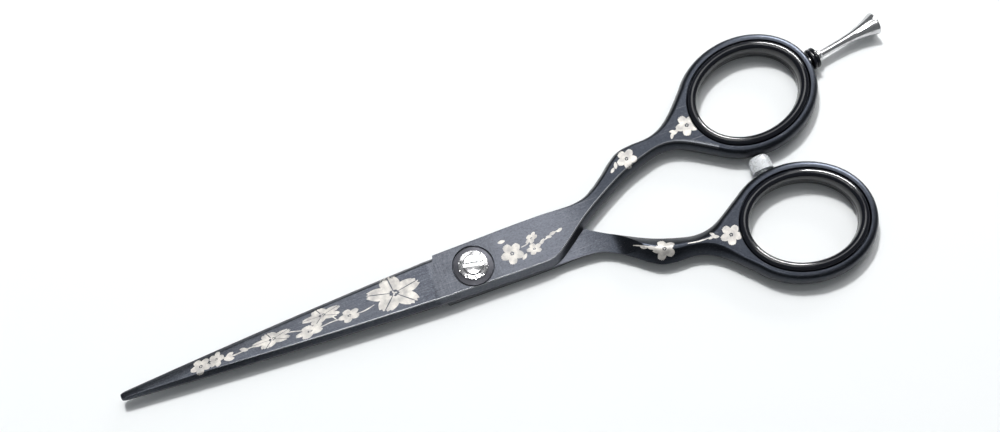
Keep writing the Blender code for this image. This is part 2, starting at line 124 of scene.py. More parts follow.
# How a side leans and how its arris is eased: (inset, bulge, ease) at block, shank and ring
RING_SIDE = (1.1, 0.25, 0.5)
OUTER_FACE_SIDES = {
    "outer": ((0.1, 0, 0.28), (0.9, 0.15, 0.4), RING_SIDE),
    "inner": ((1.0, 0, 0.2), (1.1, 0.12, 0.25), RING_SIDE),
}
CREST_BULGE, CREST_EASE = 0.1, 0.25  # of the ride face's crest along the shank
CREST_FROM_X = (23, 30)
WALL_STEPS, EASE_STEPS, SUPPORT = 6, 5, 0.05
# slot 1 is the coated steel with a painted highlight along the arrises
COATED, ARRIS_HIGHLIGHT, GROUND = 0, 1, 2  # material slots of a forging

# Pivot stack, as in the model: radii, and heights above the resting plane
BUSH_HOLE_R = 2.75
HEAD_RECESS_R, HEAD_RECESS_Z = 4.4, 4.9
NUT_HOLE_R, NUT_RECESS_R, NUT_RECESS_Z = 2.55, 3.5, 0.85
WASHER_RECESS_R, WASHER_RECESS_Z = 4.7, 2.4
NUT_R, NUT_BORE_R, NUT_FLOOR, NUT_TOP = 2.4, 1.65, 0.6, 2.35
SPANNER_HOLE_R, SPANNER_HOLE_AT = 0.35, 2.4
HEAD_BOTTOM, HEAD_STEP, HEAD_DISC_R, SCREW_R = 5.65, 6.5, 2.15, 1.6
SPRING_Z, SPRING_RISE, SPRING_THICK = 5.0, 0.3, 0.25
SLOT_WIDTH, SLOT_DEPTH, SLOT_TURN = 0.9, 0.6, radians(-12)
NOTCHES, NOTCH_R, NOTCH_DEPTH = 10, 0.3, 0.4

# Pivot stack, in finer shape than the model's
HEAD_RECESS_CHAMFER, WASHER_RECESS_CHAMFER, NUT_RECESS_CHAMFER = 0.15, 0.1, 0.12
SCREW_FOOT = 1.0  # plain end of the shank
RIM_FALL, DISC_FOOT = 0.12, (0.1, 0.03)  # of the head's rim, and of the disc on it, out and up
DISC_CROWN, DISC_STEPS = 0.22, 12
NUT_FLANGE_TOP, SPANNER_HOLE_DEPTH = 0.75, 0.35
HEAD_EASE, SPRING_EASE, NUT_EASE = 0.14, 0.06, 0.15  # rounding of their corners
SCREW_SOFT, NUT_SOFT = 0.05, 0.04  # bevel of the edges that their cuts leave
ROUND_STEPS, SMALL_ROUND_STEPS = 96, 24
AXIS_R = 0.05  # a turned piece is closed by a face this far round its axis
CLEAR = 2.0  # how far a cutter runs past the face it opens

# Bumper and finger rest, as in the model
BUMPER_STEM_R, BUMPER_FOOT, BUMPER_SHOULDER, BUMPER_HOLE_DEPTH = 0.9, -3.8, -1.78, 4.5
REST_STUD_R, REST_START, COLLAR_R, COLLAR_LENGTH = 0.95, 16.45, 2.4, 1.6
REST_END = REST_START + 17.4
REST_NECK_R, REST_NECK_LENGTH, REST_FLARE_FROM = 1.35, 0.7, 1.3
REST_STEM_R, REST_END_R, FLARE_POWER = 0.85, 2.6, 3

# Bumper and finger rest, in finer shape than the model's
BUMPER_EASE, DOME_EASE = 0.15, 0.5
DOME_SIDE = (-1.5, 0.5)  # heights of the straight side below the dome
DIMPLE = ((0.5, 0), (0.35, 0.15), (0.05, 0.2))  # radius and depth of the moulded dimple
COLLAR_GROOVE, COLLAR_GROOVE_HALF, COLLAR_EASE = 0.35, 0.12, 0.3
STUD_FROM = OPEN_A + RIB + 0.4  # inner end of the rest's stud
REST_EASE, REST_RIM_EASE, REST_RIM = 0.2, 0.3, 0.4  # rounding of neck and rim, and the rim's length
FLARE_STEPS, FLARE_SHORT = 40, 0.05  # steps of the flare, and how far it stops short of the rim
REST_STEPS = 80
REST_TURN = Matrix.Rotation(RING_TILT, 4, "Z") @ Matrix.Rotation(pi / 2, 4, "Y")

# Half round the long axis at the ride plane, as the thumb half lies
TURNED_OVER = Matrix.Translation((0, 0, 2 * RIDE_Z * MM)) @ Matrix.Rotation(pi, 4, "X")


# ---------------- mesh tools


def mesh_object(name, points, faces, materials=(), face_materials=None):
    """An object from points in millimetres, with its faces turned outwards."""
    mesh = bpy.data.meshes.new(name)
    mesh.from_pydata([Vector(p) * MM for p in points], [], faces)
    for material in materials:
        mesh.materials.append(material)
    if face_materials:
        mesh.polygons.foreach_set("material_index", face_materials)
    work = bmesh.new()
    work.from_mesh(mesh)
    bmesh.ops.recalc_face_normals(work, faces=work.faces)
    work.to_mesh(mesh)
    work.free()
    obj = bpy.data.objects.new(name, mesh)
    bpy.context.collection.objects.link(obj)
    return obj


def loft(loops, closed=False):
    """Points and faces of a skin over loops of equal length, capped unless it closes on itself."""
    count, size = len(loops), len(loops[0])
    points = [p for loop in loops for p in loop]
    faces = []
    for i in range(count if closed else count - 1):
        j = (i + 1) % count
        for k in range(size):
            m = (k + 1) % size
            faces.append((i * size + k, i * size + m, j * size + m, j * size + k))
    if not closed:
        faces.append(tuple(range(size)))
        faces.append(tuple(range((count - 1) * size, count * size)))
    return points, faces


def turned(profile, steps=ROUND_STEPS, closed=False):
    """A profile of (radius, height) turned round Z: a closed loop, or a line capped at its ends."""
    def spun(r, z, i):
        return r * cos(tau * i / steps), r * sin(tau * i / steps), z

    if closed:
        return loft([[spun(r, z, i) for r, z in profile] for i in range(steps)], closed=True)
    return loft([[spun(r, z, i) for i in range(steps)] for r, z in profile])


def combine(obj, points_and_faces, operation="DIFFERENCE", place=None):
    """Cuts a form from obj, or joins it to obj, at once."""
    guide = mesh_object("guide", *points_and_faces)
    if place:
        guide.data.transform(place)
    modifier = obj.modifiers.new("combine", "BOOLEAN")
    modifier.operation = operation
    modifier.solver = "EXACT"
    modifier.object = guide
    settle(obj)
    bpy.data.objects.remove(guide, do_unlink=True)


def settle(obj):
    """Gives obj the mesh that its modifiers make."""
    bpy.context.view_layer.update()
    graph = bpy.context.evaluated_depsgraph_get()
    mesh = bpy.data.meshes.new_from_object(obj.evaluated_get(graph))
    obj.modifiers.clear()
    obj.data = mesh


def shade(obj, angle=30):
    """Smooth shading that keeps flat faces flat and edges over the angle crisp."""
    obj.data.shade_smooth()
    obj.data.set_sharp_from_angle(angle=radians(angle))
    modifier = obj.modifiers.new("face_normals", "WEIGHTED_NORMAL")
    modifier.keep_sharp = True
    modifier.weight = 100
    return obj


def soften(obj, width, angle=35, segments=2):
    """A narrow bevel on every edge over the angle."""
    modifier = obj.modifiers.new("soften", "BEVEL")
    modifier.width = width * MM
    modifier.segments = segments
    modifier.limit_method = "ANGLE"
    modifier.angle_limit = radians(angle)
    settle(obj)


def bezier(a, b, c, steps):
    """Points of a quadratic curve from a to c that leaves and arrives along b."""
    a, b, c = Vector(a), Vector(b), Vector(c)
    shares = [i / steps for i in range(steps + 1)]
    return [a.lerp(b, t).lerp(b.lerp(c, t), t) for t in shares]


def eased(corners, ease, steps=4):
    """A line through the corners with each inner corner rounded over the length ease."""
    corners = [Vector(p) for p in corners]
    line = [corners[0]]
    for before, corner, after in zip(corners, corners[1:], corners[2:]):
        back, on = before - corner, after - corner
        start = corner + back.normalized() * min(ease, back.length / 2)
        end = corner + on.normalized() * min(ease, on.length / 2)
        line += bezier(start, corner, end, steps)
    line.append(corners[-1])
    return line


def smooth_curve(points, per_span, before=None, after=None):
    """A Catmull-Rom curve through the points; before and after steer its ends."""
    ends = [before or points[0], *points, after or points[-1]]
    curve = []
    for i in range(1, len(ends) - 2):
        p0, p1, p2, p3 = (Vector(p) for p in ends[i - 1 : i + 3])
        for step in range(per_span):
            t = step / per_span
            bend = 2 * p0 - 5 * p1 + 4 * p2 - p3
            twist = 3 * p1 - p0 - 3 * p2 + p3
            curve.append(0.5 * (2 * p1 + (p2 - p0) * t + bend * t**2 + twist * t**3))
    curve.append(Vector(points[-1]))
    return curve


def mix(a, b, share):
    return a + (b - a) * share


def step_between(value, low, high):
    """0 below low, 1 above high, and an even S between them."""
    t = min(1, max(0, (value - low) / (high - low)))
    return t * t * (3 - 2 * t)


# ---------------- forging


def ring_point(angle, outward):
    """A point of the finger ring in plan, a distance outward from the edge of its opening."""
    x, y = OPEN_A * cos(angle), OPEN_B * sin(angle)
    nx, ny = cos(angle) / OPEN_A, sin(angle) / OPEN_B
    length = hypot(nx, ny)
    x, y = x + outward * nx / length, y + outward * ny / length
    return Vector((
        RING_CENTRE.x + x * cos(RING_TILT) - y * sin(RING_TILT),
        RING_CENTRE.y + x * sin(RING_TILT) + y * cos(RING_TILT),
    ))


def edge_profile(inset, bulge, ease):
    """(inward, up) points of a side, from its widest line to the flat face above it."""
    corner = Vector((inset, HALF_HEIGHT))
    control = Vector((inset * (0.5 - bulge), HALF_HEIGHT * (0.5 + bulge)))
    wall_end = corner + (control - corner).normalized() * ease
    wall = bezier((0, 0), control, wall_end, WALL_STEPS)
    arris = bezier(wall_end, corner, corner + Vector((ease, 0)), EASE_STEPS)
    return wall + arris[1:] + [corner + Vector((ease + SUPPORT, 0))]


def mixed(a, b, share):
    return tuple(mix(p, q, share) for p, q in zip(a, b))


def side_entries(points, facing, side):
    """Each point of a side: its plan place, its two edge profiles and the material slot of its
    outer arris, which along the inner side is the painted highlight.
    """
    block, shank, ring = OUTER_FACE_SIDES[side]
    entries = []
    for p in points:
        to_ring = step_between(p.x, *SHANK_TO_RING_X)
        outer_face = mixed(mixed(block, shank, step_between(p.x, *BLOCK_TO_SHANK_X)), ring, to_ring)
        half_width = min((p - q).length for q in facing) / 2
        crest = (half_width - CREST_EASE - SUPPORT, CREST_BULGE, CREST_EASE)
        ride_face = mixed(mixed(block, crest, step_between(p.x, *CREST_FROM_X)), ring, to_ring)
        # only the inner side's arris gets the painted highlight
        finish = ARRIS_HIGHLIGHT if side == "inner" else COATED
        entries.append((p, edge_profile(*outer_face), edge_profile(*ride_face), finish))
    return entries


def handle_outline():
    """Plan outline of block, shank and ring, clockwise from the block's far corner."""
    ring = [
        ring_point(mix(RING_FROM, RING_TO, i / RING_OUTLINE_STEPS), RING_BAND)
        for i in range(RING_OUTLINE_STEPS + 1)
    ]
    outer_side = smooth_curve([*OUTER_SIDE, ring[0]], SIDE_STEPS, after=ring[STEER])[:-1]
    inner_side = smooth_curve([*INNER_SIDE, ring[-1]], SIDE_STEPS, after=ring[-1 - STEER])[:-1]
    profile = edge_profile(*RING_SIDE)
    outline = side_entries(outer_side, inner_side, "outer")
    outline += [(p, profile, profile, COATED) for p in ring]
    outline += reversed(side_entries(inner_side, outer_side, "inner"))
    return outline


def handle_form(materials):
    """Block, shank and ring as one solid with eased sides, before its holes."""
    outline = handle_outline()
    plan = [entry[0] for entry in outline]
    normals = []
    for before, after in zip([plan[0], *plan], [*plan[1:], plan[-1]]):
        along = (after - before).normalized()
        normals.append(Vector((along.y, -along.x)))
    end = plan[0] - plan[-1]  # the block's end wall stays upright
    normals[0], normals[-1] = -end / end.y, end / end.y
    levels = len(outline[0][1])
    loops = []
    for face, sign, order in ((2, -1, range(levels - 1, 0, -1)), (1, 1, range(levels))):
        for k in order:
            loop = []
            for entry, normal in zip(outline, normals):
                inward, up = entry[face][k]
                q = entry[0] + normal * inward
                loop.append((q.x, q.y, RIDE_Z + sign * up))
            loops.append(loop)
    points, faces = loft(loops)
    finishes = [COATED] * len(faces)
    # the arris steps take their point's slot, so the painted highlight runs along the inner side
    first_arris = (levels - 1 + WALL_STEPS) * len(plan)
    for i in range(first_arris, first_arris + EASE_STEPS * len(plan)):
        finishes[i] = outline[i % len(plan)][3]
    return points, faces, materials, finishes


def blade_section(x, scale):
    """Points round the finger blade at x, from the cutting edge over the outer face and back."""
    share = min(1, max(0, x / TIP_X))
    width = scale * mix(ROOT_HALF_WIDTH, TIP_HALF_WIDTH, share**TAPER_POWER)
    top = mix(HALF_HEIGHT, TIP_TOP, share**TOP_POWER) * mix(1, scale, MOST_TIP_DROP) - ROOT_STEP
    lean = min(SPINE_LEAN, width * MOST_BEVEL_SHARE)
    bevel = min(EDGE_BEVEL, width * MOST_BEVEL_SHARE)
    ease = min(ARRIS_EASE, bevel / 3)
    bevel_top = Vector((width - bevel, top * EDGE_SHARE))
    arris = Vector((lean - width, top))
    slope = (bevel_top - arris).normalized()
    wall = Vector((-width, top * SPINE_SHARE))
    on_wall = (wall - arris).normalized()
    edge = [
        Vector((width, RIDE_GAP + EDGE_BOTTOM)),
        Vector((width - EDGE_WIDTH, RIDE_GAP + EDGE_TOP)),
    ]
    below_bevel = bevel_top + Vector((ease, -ease * 0.8))
    middle = (bevel_top + arris) / 2 + Vector((0, CROWN * min(1, width / CROWN_FULL_FROM)))
    crown = bezier(bevel_top - slope * ease * 1.2, middle, arris + slope * ease * 1.2, 8)
    parts = [
        (COATED, edge),
        (COATED, bezier(below_bevel, bevel_top, bevel_top - slope * ease, 3)),
        (COATED, crown[1:-1]),
        # painted highlight along the spine's arris
        (ARRIS_HIGHLIGHT, bezier(arris + slope * ease, arris, arris + on_wall * ease, 5)),
        (COATED, bezier(wall - on_wall * ease, wall, wall - Vector((0, ease)), 3)),
        (COATED, [Vector((-width, RIDE_GAP + SPINE_FOOT))]),
    ]
    strip = min(RIDE_STRIP, width * MOST_STRIP_SHARE)
    depth = min(HOLLOW, width * MOST_HOLLOW_SHARE) * step_between(-x, *HOLLOW_FADE_X)
    hollow = [Vector((SPINE_FOOT_EASE - width, RIDE_GAP + LAP))]
    for i in range(HOLLOW_STEPS + 1):
        across = mix(strip - width, width - strip, i / HOLLOW_STEPS)
        dip = depth * sin(pi * i / HOLLOW_STEPS) ** HOLLOW_POWER
        hollow.append(Vector((across, RIDE_GAP + LAP + dip)))
    parts.append((GROUND, hollow))
    points = [(x, q.x, RIDE_Z + q.y) for _, part in parts for q in part]
    finishes = []
    for finish, part in parts:
        finishes += [finish] * (len(part) - 1) + [GROUND if finish == GROUND else COATED]
    return points, finishes


def blade_form(materials):
    """The finger blade with its rounded tip, as one solid."""
    stations = []
    for i in range(TIP_STATIONS):
        scale = mix(TIP_SHARE, 1, (i / (TIP_STATIONS - 1)) ** 0.5)
        stations.append((TIP_X + TIP_SPACING * i * i, scale))
    for i in range(BLADE_STATIONS + 1):
        stations.append((mix(TIP_X + TIP_LENGTH, BLADE_END_X, i / BLADE_STATIONS), 1.0))
    sections = [blade_section(x, scale) for x, scale in stations]
    points, faces = loft([section for section, _ in sections])
    finishes = sections[0][1] * (len(sections) - 1) + [COATED, COATED]
    return points, faces, materials, finishes


def ride_face_cut():
    """All that lies below the ride face, down to the shank's full height beyond the sweep."""
    drop = HALF_HEIGHT + RIDE_GAP + SWEEP_PAST
    sweep = []
    for i in range(SWEEP_STEPS + 1):
        t = i / SWEEP_STEPS
        sweep.append((mix(*SWEEP_X, t), RIDE_Z + RIDE_GAP - drop * step_between(t, 0, 1)))
    side_view = [(TIP_X, -CLEAR), (TIP_X, RIDE_Z + RIDE_GAP), *sweep, (SWEEP_X[1], -CLEAR)]
    return loft([[(x, y, z) for x, z in side_view] for y in (-CUT_HALF_WIDTH, CUT_HALF_WIDTH)])


def seat_cut():
    """The ring's opening: a chamfered seat from each side and the rib between them."""
    past, face = HALF_HEIGHT + CLEAR, HALF_HEIGHT
    half = [
        (past, SEAT + SEAT_CHAMFER + CLEAR), (face - SEAT_CHAMFER, SEAT),
        (RIB_HALF_HEIGHT, SEAT), (RIB_HALF_HEIGHT, RIB),
    ]
    levels = half + [(-z, outward) for z, outward in reversed(half)]
    return loft([
        [(*ring_point(tau * i / RING_STEPS, outward), RIDE_Z + z) for i in range(RING_STEPS)]
        for z, outward in levels
    ])


def hole_cut(radius, bottom, top, chamfer=0.0):
    """A round hole up to the face at top, with a chamfer there."""
    if not chamfer:
        return turned([(radius, bottom), (radius, top + CLEAR)])
    return turned([
        (radius, bottom), (radius, top - chamfer), (radius + chamfer + CLEAR, top + CLEAR)
    ])


def at(x, y, z, turn=Matrix.Identity(4)):
    """The transform to a place in millimetres, after a turn."""
    return Matrix.Translation(Vector((x, y, z)) * MM) @ turn


BUMPER_PLACE = at(BUMPER_X, 0, RIDE_Z, Matrix.Rotation(-pi / 2, 4, "X"))


def forging(name, body, node, turn, holes, materials):
    """One half: the holed handle with its blade, both turned over for the thumb half."""
    half = mesh_object(name, *handle_form(materials))
    combine(half, ride_face_cut())
    combine(half, seat_cut())
    half.data.transform(turn)
    for hole, place in holes:
        combine(half, hole, place=place)
    combine(half, blade_form(materials), "UNION", place=turn)
    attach(half, body)
    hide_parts(node)
    return shade(half)


def finger_forging(materials):
    face = RIDE_Z + HALF_HEIGHT
    stud_hole_r, stud_hole_end = REST_STUD_R + FIT, OPEN_A + RING_BAND + CLEAR
    stud_hole = turned([(stud_hole_r, OPEN_A), (stud_hole_r, stud_hole_end)])
    holes = [
        (hole_cut(BUSH_HOLE_R, RIDE_Z - CLEAR, face), None),
        (hole_cut(HEAD_RECESS_R, HEAD_RECESS_Z, face, HEAD_RECESS_CHAMFER), None),
        (stud_hole, at(*RING_CENTRE, REST_TURN)),
    ]
    as_forged = Matrix.Identity(4)
    return forging(
        "finger_half_forging", "finger_half", "finger_blade", as_forged, holes, materials
    )


def thumb_forging(materials):
    foot = HALF_HEIGHT - RIDE_Z
    upside_down = Matrix.Rotation(pi, 4, "X")
    stem_hole = turned([(BUMPER_STEM_R + FIT, -BUMPER_HOLE_DEPTH), (BUMPER_STEM_R + FIT, 0)])
    washer_recess = hole_cut(
        WASHER_RECESS_R, WASHER_RECESS_Z, RIDE_Z - RIDE_GAP, WASHER_RECESS_CHAMFER
    )
    holes = [
        (hole_cut(NUT_HOLE_R, -CLEAR, RIDE_Z), None),
        (washer_recess, None),
        (hole_cut(NUT_RECESS_R, -NUT_RECESS_Z, foot, NUT_RECESS_CHAMFER), upside_down),
        (stem_hole, BUMPER_PLACE),
    ]
    return forging("thumb_half_forging", "thumb_half", "thumb_blade", TURNED_OVER, holes, materials)


# ---------------- small parts


def ring_insert(name, body, node, over, material):
    """A glossy liner with a round crown, a fine mould seam and a groove over the ring's rib."""
    edge, groove, lip = SEAT - FIT, RIB - FIT, RIB_HALF_HEIGHT + FIT
    # (outward, up) points of the upper half's section
    over_crown = [
        (0.02, 1.3), (0.15, 2.1), (0.45, 2.7), (1.08, INSERT_HALF_HEIGHT), (1.7, 2.82),
        (2.02, 2.5), (edge, 2.2),
    ]
    crown = smooth_curve(over_crown, 5, before=(0, 0.5), after=(edge, 1.8))
    seam = [(-0.06, 0), (-0.02, 0.08), (0, 0.14), (0, 0.7)]
    upper = [*seam, *crown, (edge, lip), (groove, lip)]
    profile = upper + [(outward, -z) for outward, z in reversed(upper[1:])]
    loops = [
        [(*ring_point(tau * i / RING_STEPS, outward), RIDE_Z + z) for outward, z in profile]
        for i in range(RING_STEPS)
    ]
    insert = mesh_object(name, *loft(loops, closed=True), [material])
    if over:
        insert.data.transform(TURNED_OVER)
    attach(insert, body)
    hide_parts(node)
    return shade(insert, 50)


def pivot_screw(material):
    """Stepped head with a slot and a notched rim, over the plain shank."""
    rim = eased([
        (SCREW_R, SCREW_FOOT), (SCREW_R, HEAD_BOTTOM),
        (HEAD_R, HEAD_BOTTOM), (HEAD_R, HEAD_STEP - RIM_FALL),
        (HEAD_DISC_R + DISC_FOOT[0], HEAD_STEP + DISC_FOOT[1]),
        (HEAD_DISC_R, HEAD_TOP - DISC_CROWN),
    ], HEAD_EASE)
    for i in range(1, DISC_STEPS):
        share = i / DISC_STEPS
        rim.append(Vector((HEAD_DISC_R * (1 - share), HEAD_TOP - DISC_CROWN * (1 - share) ** 2)))
    rim.append(Vector((0.02, HEAD_TOP)))
    screw = mesh_object("pivot_screw_head", *turned(rim), [material])
    half_slot, floor, above = SLOT_WIDTH / 2, HEAD_TOP - SLOT_DEPTH, HEAD_TOP + CLEAR
    slot_end = [(-half_slot, floor), (half_slot, floor), (half_slot, above), (-half_slot, above)]
    slot = loft([[(x, y, z) for y, z in slot_end] for x in (-HEAD_R - 1, HEAD_R + 1)])
    combine(screw, slot, place=Matrix.Rotation(SLOT_TURN, 4, "Z"))
    for i in range(NOTCHES):
        angle = SLOT_TURN + tau * (i + 0.5) / NOTCHES
        where = at(HEAD_R * cos(angle), HEAD_R * sin(angle), HEAD_STEP - NOTCH_DEPTH)
        notch = turned([(NOTCH_R, 0), (NOTCH_R, CLEAR)], SMALL_ROUND_STEPS)
        combine(screw, notch, place=where)
    soften(screw, SCREW_SOFT)
    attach(screw, "tension_screw")
    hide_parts("pivot_screw")
    return shade(screw)


def disc_spring(material):
    """Coned washer that shows as a dark ring round the screw's head."""
    inner, outer = SCREW_R + FIT, HEAD_RECESS_R - FIT
    low, middle, high = SPRING_Z + SPRING_RISE, 5.42, SPRING_Z + SPRING_RISE + SPRING_THICK
    profile = eased([
        (inner, middle), (inner, high), (outer, SPRING_Z + SPRING_THICK), (outer, SPRING_Z),
        (inner, low), (inner, middle),
    ], SPRING_EASE)[:-1]
    spring = mesh_object("disc_spring_washer", *turned(profile, closed=True), [material])
    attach(spring, "finger_half")
    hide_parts("disc_spring")
    return shade(spring)


def rear_nut(material):
    """Flanged nut with two spanner holes in the face that the shears rest on."""
    flange_r = millimetres(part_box("rear_nut")[1]).x
    outside = eased([
        (AXIS_R, 0), (flange_r, 0), (flange_r, NUT_FLANGE_TOP), (NUT_R, NUT_FLANGE_TOP),
        (NUT_R, NUT_TOP), (NUT_BORE_R, NUT_TOP), (NUT_BORE_R, NUT_FLOOR), (AXIS_R, NUT_FLOOR),
    ], NUT_EASE)
    nut = mesh_object("rear_nut_flanged", *turned(outside), [material])
    spanner_hole = [(SPANNER_HOLE_R, -1), (SPANNER_HOLE_R, SPANNER_HOLE_DEPTH)]
    for side in (-1, 1):
        where = at(side * SPANNER_HOLE_AT, 0, 0)
        combine(nut, turned(spanner_hole, SMALL_ROUND_STEPS), place=where)
    soften(nut, NUT_SOFT)
    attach(nut, "thumb_half")
    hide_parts("rear_nut")
    return shade(nut)


def bumper(material):
    """Domed silencer with a flat foot and a moulded dimple."""
    top = BUMPER_TOP_Y
    dome = eased([
        (AXIS_R, BUMPER_FOOT), (BUMPER_STEM_R, BUMPER_FOOT), (BUMPER_STEM_R, BUMPER_SHOULDER),
        (BUMPER_R, BUMPER_SHOULDER),
    ], BUMPER_EASE)
    dome += eased([
        *[(BUMPER_R, y) for y in DOME_SIDE], (BUMPER_R * 0.86, top * 0.86), (BUMPER_R * 0.45, top),
        *[(r, top - depth) for r, depth in DIMPLE],
    ], DOME_EASE, 5)
    cap = mesh_object("rubber_bumper", *turned(dome), [material])
    cap.data.transform(BUMPER_PLACE)
    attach(cap, "thumb_half")
    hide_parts("bumper")
    return shade(cap, 60)


def rest_collar(material):
    """Black washer with two round lips."""
    start, end, bore = REST_START, REST_START + COLLAR_LENGTH, REST_STUD_R + FIT
    middle = (start + end) / 2
    lips = eased([
        (bore, start), (COLLAR_R, start), (COLLAR_R, middle - COLLAR_GROOVE_HALF),
        (COLLAR_R - COLLAR_GROOVE, middle), (COLLAR_R, middle + COLLAR_GROOVE_HALF),
        (COLLAR_R, end), (bore, end), (bore, start + 0.1),
    ], COLLAR_EASE)
    collar = mesh_object("rest_collar_ring", *turned(lips, closed=True), [material])
    collar.data.transform(at(*RING_CENTRE, REST_TURN))
    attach(collar, "finger_half")
    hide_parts("rest_collar")
    return shade(collar)


def finger_rest(material):
    """Stud, neck and a stem that flares to a round end with an eased rim."""
    neck = REST_START + COLLAR_LENGTH + 0.1
    profile = eased([
        (AXIS_R, STUD_FROM), (REST_STUD_R, STUD_FROM), (REST_STUD_R, neck), (REST_NECK_R, neck),
        (REST_NECK_R, neck + REST_NECK_LENGTH), (REST_STEM_R, neck + REST_FLARE_FROM),
    ], REST_EASE)
    flare_end = REST_END - REST_RIM - FLARE_SHORT
    for i in range(1, FLARE_STEPS + 1):
        share = i / FLARE_STEPS
        radius = mix(REST_STEM_R, REST_END_R, share**FLARE_POWER)
        profile.append(Vector((radius, mix(neck + REST_FLARE_FROM, flare_end, share))))
    rim = [(REST_END_R, REST_END - REST_RIM), (REST_END_R, REST_END), (AXIS_R, REST_END)]
    profile += eased(rim, REST_RIM_EASE, 6)
    rest = mesh_object("finger_rest_tang", *turned(profile, REST_STEPS), [material])
    rest.data.transform(at(*RING_CENTRE, REST_TURN))
    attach(rest, "rest")
    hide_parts("finger_rest")
    return shade(rest)


# ---------------- engraving

ENGRAVED = 0.02  # height of the etched pattern over the face
SUNK = 0.06  # how far its pieces reach into the face
VEINED, VEIN = 3.2, 0.07  # petals over this length are split by a vein, and its half width
PETALS, FIRST_PETAL = 5, 28  # in a blossom, and the direction of its first in degrees
PETAL_GRID, LEAF_GRID, STAMEN_GRID, VINE_ACROSS = (12, 7), (9, 5), (5, 5), 3
STAMENS, STAMEN_LENGTH, STAMEN_OUT = 3, 0.13, 0.05  # shares of the blossom's half length

# Blossoms: (x, y, half length, share of it across, turn in degrees). Leaves: (x, y, length, turn)
FINGER_BLOSSOMS = [
    (-17.7, 0.55, 5.9, 0.66, -9), (-28.2, -0.7, 2.4, 0.6, 5), (-33.6, 1.45, 4.4, 0.36, 2),
    (-37.1, -0.95, 3.2, 0.42, 6), (-45.1, 0.3, 4.4, 0.36, 2), (-57.5, 0.35, 1.9, 0.75, 40),
    (-61.0, 0.1, 2.3, 0.72, 12), (8.7, -0.4, 2.5, 0.95, 14), (13.7, 1.35, 1.6, 0.6, 30),
    (13.5, -1.1, 1.7, 0.75, 0), (39.4, 10.7, 2.3, 0.95, 20), (54.5, 13.2, 2.5, 0.95, 8),
]
FINGER_LEAVES = [
    (-54.6, 0.3, 1.9, 20), (-54.9, -0.45, 2.2, -12), (-51.4, 0.3, 1.8, -25), (15.6, -0.2, 1.5, 40),
    (17.3, 0.3, 1.3, -15), (18.3, 0.75, 1.5, 12), (20.0, 0.9, 1.4, 20), (7.4, 2.8, 1.6, -2),
    (11.0, -2.0, 1.6, 38), (36.6, 10.1, 1.6, 75), (35.6, 9.3, 1.4, 40), (51.6, 12.6, 1.6, 30),
    (50.6, 12.1, 1.5, 60), (51.0, 13.0, 1.3, -10),
]
FINGER_VINES = [
    [(-22.5, -0.4), (-25.0, -0.9), (-28.0, -0.8)],
    [(-29.5, -0.8), (-32.3, -0.7), (-35.0, -0.9), (-38.0, -0.4), (-41.5, 0.5), (-44.0, 0.4)],
    [(-31.0, -0.6), (-32.0, 0.6), (-34.0, 1.2)],
    [(-47.5, 0.0), (-50.0, 0.2), (-53.5, -0.1), (-56.0, 0.1), (-59.0, 0.2)],
    [(14.9, -0.3), (17.0, 0.2), (18.5, 0.7), (20.3, 1.1)],
    [(11.0, 0.2), (12.3, 0.4), (13.2, 1.0)],
]
THUMB_BLOSSOMS = [(39.4, -10.9, 2.5, 0.85, -10), (53.9, -13.1, 2.4, 0.95, 12)]
THUMB_LEAVES = [
    (36.9, -9.7, 1.8, 155), (35.4, -9.0, 1.5, 145), (50.6, -12.3, 1.6, 160),
    (50.2, -11.6, 1.4, 120), (49.6, -12.2, 1.2, 190),
]
THUMB_VINES = [
    [(33.6, -7.6), (35.2, -8.6), (37.4, -9.9)],
    [(44.5, -11.6), (47.0, -12.0), (50.0, -12.1)],
]


class Surface:
    """The upper side of a finished forging, which the pattern is laid on."""

    def __init__(self, obj):
        bpy.context.view_layer.update()
        self.tree = BVHTree.FromObject(obj, bpy.context.evaluated_depsgraph_get())

    def height(self, x, y):
        hit = self.tree.ray_cast(Vector((x, y, 20)) * MM, Vector((0, 0, -1)))[0]
        return hit.z / MM if hit else None


def patch(rows, columns, place, surface):
    """A thin closed piece over a grid, or nothing where it would run off the surface.

    place(u, v) gives plan x, y and relief for u, v in 0..1.
    """
    top, bottom = [], []
    for i in range(rows):
        for j in range(columns):
            x, y, relief = place(i / (rows - 1), j / (columns - 1))
            z = surface.height(x, y)
            if z is None:
                return [], []
            top.append((x, y, z + relief))
            bottom.append((x, y, z - SUNK))
    faces, offset = [], rows * columns
    for i in range(rows - 1):
        for j in range(columns - 1):
            a = i * columns + j
            quad = (a, a + 1, a + 1 + columns, a + columns)
            faces.append(quad)
            faces.append(tuple(k + offset for k in reversed(quad)))
    border = list(range(columns))
    border += [i * columns + columns - 1 for i in range(1, rows)]
    border += [(rows - 1) * columns + j for j in range(columns - 2, -1, -1)]
    border += [i * columns for i in range(rows - 2, 0, -1)]
    for a, b in zip(border, border[1:] + border[:1]):
        faces.append((b, a, a + offset, b + offset))
    return top + bottom, faces


def petal_place(x, y, length, across, turn, lobe, sides):
    """Where the grid of one petal lies, or of the part of it between two sides in -1..1.

    The lobe is the petal's own direction before the blossom is squeezed across and turned.
    """
    def place(u, v):
        along, side = mix(0.17, 1, u), mix(*sides, v)
        half_width = 0.37 * sin(pi * (0.05 + 0.73 * along)) ** 0.95
        ragged = 1 - 0.06 * side * side + 0.045 * cos(3 * pi * side + 2 * lobe) * along
        p = Vector((along * ragged, side * half_width)) * length
        p.rotate(Matrix.Rotation(lobe, 2))
        p.y *= across
        p.rotate(Matrix.Rotation(turn, 2))
        return x + p.x, y + p.y, ENGRAVED * (1 - 0.5 * abs(side))
    return place


